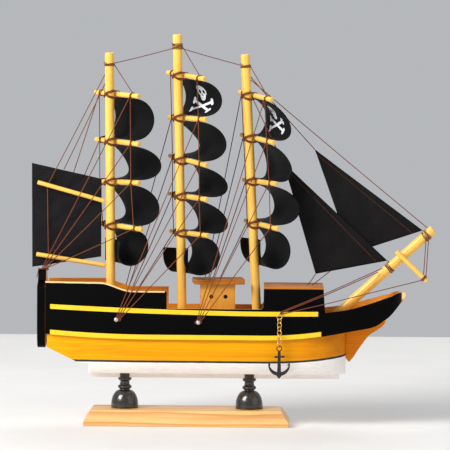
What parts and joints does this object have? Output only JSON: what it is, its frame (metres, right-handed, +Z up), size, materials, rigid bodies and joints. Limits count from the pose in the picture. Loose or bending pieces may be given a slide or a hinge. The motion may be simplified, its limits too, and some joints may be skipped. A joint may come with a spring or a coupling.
{
  "type": "model sailing ship",
  "caption": "Wooden model of a three-masted sailing ship with stiff black sails, thread rigging and a hanging anchor, on a plank stand with turned pedestals.",
  "frame": {"origin": "centre of the stand's flat underside", "axes": "+X towards the bow, -Y starboard, +Z up"},
  "size_m": [0.324, 0.0714, 0.3124],
  "materials": {
    "pine": "light pine, thin clear varnish",
    "dark_lacquer": "gloss black-brown lacquer on turned wood",
    "steel": "bright plated steel",
    "varnished_wood": "orange varnish over wood grain",
    "white_paint": "matte white paint on wood",
    "deck_wood": "varnished plank",
    "house_wood": "bare pale wood",
    "black_paint": "semi-gloss black paint on thin board",
    "yellow_paint": "bright yellow paint on a thin strip",
    "spar_wood": "pale dowel, clear varnish",
    "black_cloth": "stiffened black sailcloth",
    "grey_cloth": "stiffened charcoal sailcloth with visible weave",
    "thread": "red-brown waxed thread",
    "brass": "bright brass plating",
    "dark_metal": "dark cast metal"
  },
  "bodies": {
    "ship": {"base": "pine", "pedestals": "dark_lacquer", "stand_screws": "steel", "keel": "white_paint", "hull": "varnished_wood", "stem": "varnished_wood", "deck": "deck_wood", "side_board_starboard": "black_paint", "side_board_port": "black_paint", "upper_strakes": "yellow_paint", "lower_strakes": "yellow_paint", "bow_wales": "black_paint", "transom": "black_paint", "forecastle_deck": "deck_wood", "forecastle_bulkheads": "black_paint", "house_body": "house_wood", "house_roof": "house_wood", "mizzen_mast": "spar_wood", "main_mast": "spar_wood", "fore_mast": "spar_wood", "bowsprit": "spar_wood", "dolphin_striker": "spar_wood", "gaff": "spar_wood", "boom": "spar_wood", "mizzen_yard_1": "spar_wood", "mizzen_yard_2": "spar_wood", "mizzen_yard_3": "spar_wood", "mizzen_yard_4": "spar_wood", "main_yard_1": "spar_wood", "main_yard_2": "spar_wood", "main_yard_3": "spar_wood", "main_yard_4": "spar_wood", "main_yard_5": "spar_wood", "fore_yard_1": "spar_wood", "fore_yard_2": "spar_wood", "fore_yard_3": "spar_wood", "fore_yard_4": "spar_wood", "mizzen_sail_1": "black_cloth", "mizzen_sail_2": "black_cloth", "mizzen_sail_3": "black_cloth", "mizzen_sail_4": "black_cloth", "main_sail_1": "black_cloth", "main_sail_2": "black_cloth", "main_sail_3": "black_cloth", "main_sail_4": "black_cloth", "main_sail_5": "black_cloth", "fore_sail_1": "black_cloth", "fore_sail_2": "black_cloth", "fore_sail_3": "black_cloth", "fore_sail_4": "black_cloth", "spanker": "black_cloth", "outer_jib": "grey_cloth", "inner_jib": "grey_cloth", "lashings": "thread", "rigging": "thread", "hull_pins": "steel", "chain_eye": "brass"},
    "jump_ring": {"jump_ring": "brass"},
    "chain": {"chain": "brass"},
    "anchor": {"anchor": "dark_metal"}
  },
  "joints": [
    {"name": "ring_swing", "type": "hinge", "parent": "ship", "child": "jump_ring", "pos_m": [0.0737, -0.0318, 0.09104], "axis": [-1, 0, 0], "range_deg": [0, 80]},
    {"name": "chain_sway", "type": "hinge", "parent": "jump_ring", "child": "chain", "pos_m": [0.0737, -0.0318, 0.0879], "axis": [0, 1, 0], "range_deg": [-40, 40]},
    {"name": "anchor_sway", "type": "hinge", "parent": "chain", "child": "anchor", "pos_m": [0.0737, -0.0318, 0.06506], "axis": [0, 1, 0], "range_deg": [-45, 45]}
  ]
}
